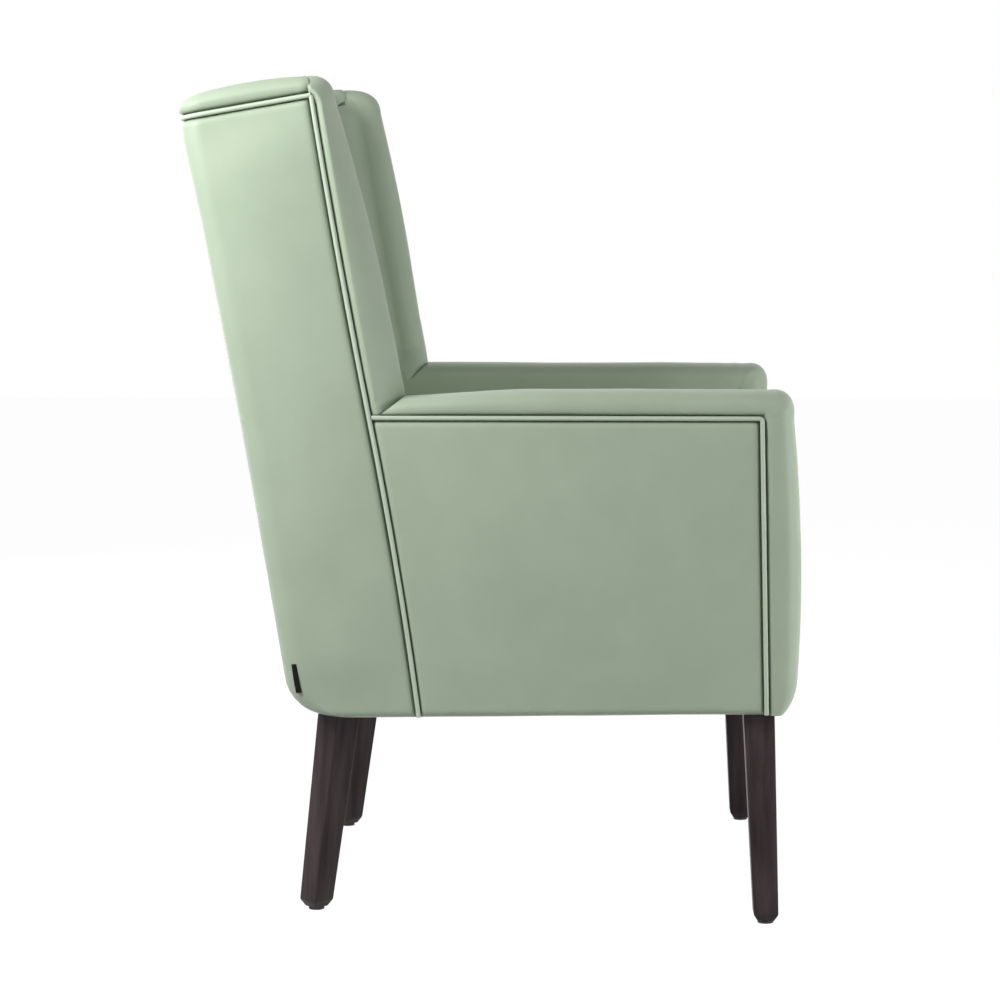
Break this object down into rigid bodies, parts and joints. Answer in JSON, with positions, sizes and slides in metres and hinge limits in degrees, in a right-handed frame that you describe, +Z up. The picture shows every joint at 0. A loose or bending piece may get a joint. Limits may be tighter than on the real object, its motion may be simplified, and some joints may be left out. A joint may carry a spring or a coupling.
{
  "type": "waiting room armchair",
  "caption": "High-backed upholstered waiting room armchair with straight side wings, padded arms, piped vinyl covers and tapered wooden legs.",
  "frame": {"origin": "on the floor, under the middle of the chair's outer box", "axes": "+Z up, the chair faces -Y, +X towards the sitter's left"},
  "size_m": [0.656, 0.7636, 1.0399],
  "materials": {
    "sage_vinyl": "satin",
    "foam": "matte",
    "wadding": "matte",
    "plywood": "matte",
    "beech": "matte",
    "fibreboard": "matte",
    "webbing": "matte",
    "black_cloth": "matte",
    "leg_wood": "satin",
    "stud_steel": "satin",
    "glide_plastic": "matte"
  },
  "bodies": {
    "root": {"arm_cap_cover_left": "sage_vinyl", "arm_cap_cover_right": "sage_vinyl", "arm_cap_foam_left": "foam", "arm_cap_foam_right": "foam", "arm_front_post_left": "beech", "arm_front_post_right": "beech", "arm_inner_cover_left": "sage_vinyl", "arm_inner_cover_right": "sage_vinyl", "arm_inner_foam_left": "foam", "arm_inner_foam_right": "foam", "arm_inner_panel_left": "plywood", "arm_inner_panel_right": "plywood", "arm_outer_cover_left": "sage_vinyl", "arm_outer_cover_right": "sage_vinyl", "arm_top_rail_left": "beech", "arm_top_rail_right": "beech", "arm_wadding_left": "wadding", "arm_wadding_right": "wadding", "arm_welt_left": "sage_vinyl", "arm_welt_right": "sage_vinyl", "back_wadding_left": "wadding", "back_wadding_right": "wadding", "back_webbing": "webbing", "back_welt_left": "sage_vinyl", "back_welt_right": "sage_vinyl", "dust_cover": "black_cloth", "front_border_cover": "sage_vinyl", "front_border_foam": "foam", "front_rail": "beech", "glides": "glide_plastic", "inner_back_cover": "sage_vinyl", "inner_back_foam": "foam", "leg_bolts": "stud_steel", "leg_front_left": "leg_wood", "leg_front_right": "leg_wood", "leg_rear_left": "leg_wood", "leg_rear_right": "leg_wood", "lumbar_rail": "beech", "outer_back_board": "fibreboard", "outer_back_cover": "sage_vinyl", "outer_back_wadding": "wadding", "rear_leg_blocks": "beech", "rear_rail": "beech", "seat_cover": "sage_vinyl", "seat_foam": "foam", "seat_webbing": "webbing", "seat_welt": "sage_vinyl", "side_panel_left": "plywood", "side_panel_right": "plywood", "side_tab": "black_cloth", "top_rail": "beech", "top_roll_cover": "sage_vinyl", "top_roll_foam": "foam", "top_welt": "sage_vinyl", "wing_cover_left": "sage_vinyl", "wing_cover_right": "sage_vinyl", "wing_foam_left": "foam", "wing_foam_right": "foam"}
  },
  "joints": []
}
